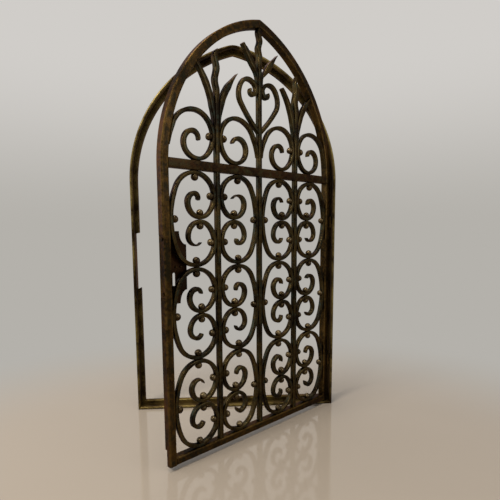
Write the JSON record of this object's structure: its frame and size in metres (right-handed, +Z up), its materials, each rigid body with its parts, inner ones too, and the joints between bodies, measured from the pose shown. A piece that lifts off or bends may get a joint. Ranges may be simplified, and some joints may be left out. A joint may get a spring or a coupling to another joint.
{
  "type": "arched window grille",
  "caption": "Pointed-arch bronze window grille: a fixed moulded frame with a hinged openwork leaf of double scrolls, a heart and pronged finials, standing open.",
  "frame": {"origin": "centre of the underside of the frame's sill, midway along its width and its depth", "axes": "+Z up, +Y out of the frame's back towards the wall it stands in, +X along the sill towards the hinged side"},
  "size_m": [0.327, 0.2154, 0.5765],
  "materials": {
    "frame_bronze": "dark bronze patina, rubbed golden along its ridges",
    "border_bronze": "dark brown bronze patina with golden edges",
    "scroll_bronze": "dark bronze patina with grey-green verdigris",
    "rivet_bronze": "dark bronze, rubbed bright on top",
    "plate_bronze": "dark brown bronze sheet",
    "fastener_bronze": "dark bronze"
  },
  "bodies": {
    "root": {"left_jamb": "frame_bronze", "right_jamb": "frame_bronze", "sill": "frame_bronze", "left_arch": "frame_bronze", "right_arch": "frame_bronze", "pintles": "fastener_bronze"},
    "leaf": {"arch_rivets": "rivet_bronze", "bottom_rail": "border_bronze", "edge_screws": "fastener_bronze", "free_stile": "border_bronze", "heart_left": "scroll_bronze", "heart_right": "scroll_bronze", "hinge_stile": "border_bronze", "joint_rivets": "rivet_bronze", "knuckles": "fastener_bronze", "leaf_left_arch": "border_bronze", "leaf_right_arch": "border_bronze", "left_bar": "scroll_bronze", "left_bar_rivets": "rivet_bronze", "left_finial": "scroll_bronze", "lock_plate": "plate_bronze", "lock_studs": "fastener_bronze", "middle_bar": "scroll_bronze", "middle_bar_rivets": "rivet_bronze", "middle_finial": "scroll_bronze", "rail_rivets": "rivet_bronze", "right_bar": "scroll_bronze", "right_bar_rivets": "rivet_bronze", "right_finial": "scroll_bronze", "scroll_row1_column1": "scroll_bronze", "scroll_row1_column2": "scroll_bronze", "scroll_row1_column3": "scroll_bronze", "scroll_row1_column4": "scroll_bronze", "scroll_row2_column1": "scroll_bronze", "scroll_row2_column2": "scroll_bronze", "scroll_row2_column3": "scroll_bronze", "scroll_row2_column4": "scroll_bronze", "scroll_row3_column1": "scroll_bronze", "scroll_row3_column2": "scroll_bronze", "scroll_row3_column3": "scroll_bronze", "scroll_row3_column4": "scroll_bronze", "standing_scroll_1": "scroll_bronze", "standing_scroll_2": "scroll_bronze", "standing_scroll_3": "scroll_bronze", "standing_scroll_4": "scroll_bronze", "stile_rivets": "rivet_bronze", "transom": "scroll_bronze", "transom_rivets": "rivet_bronze", "volute_rivets": "rivet_bronze"}
  },
  "joints": [
    {"name": "leaf_swing", "type": "hinge", "parent": "root", "child": "leaf", "pos_m": [0.156, -0.008, 0.08], "axis": [0, 0, 1], "range_deg": [-39, 66]}
  ]
}
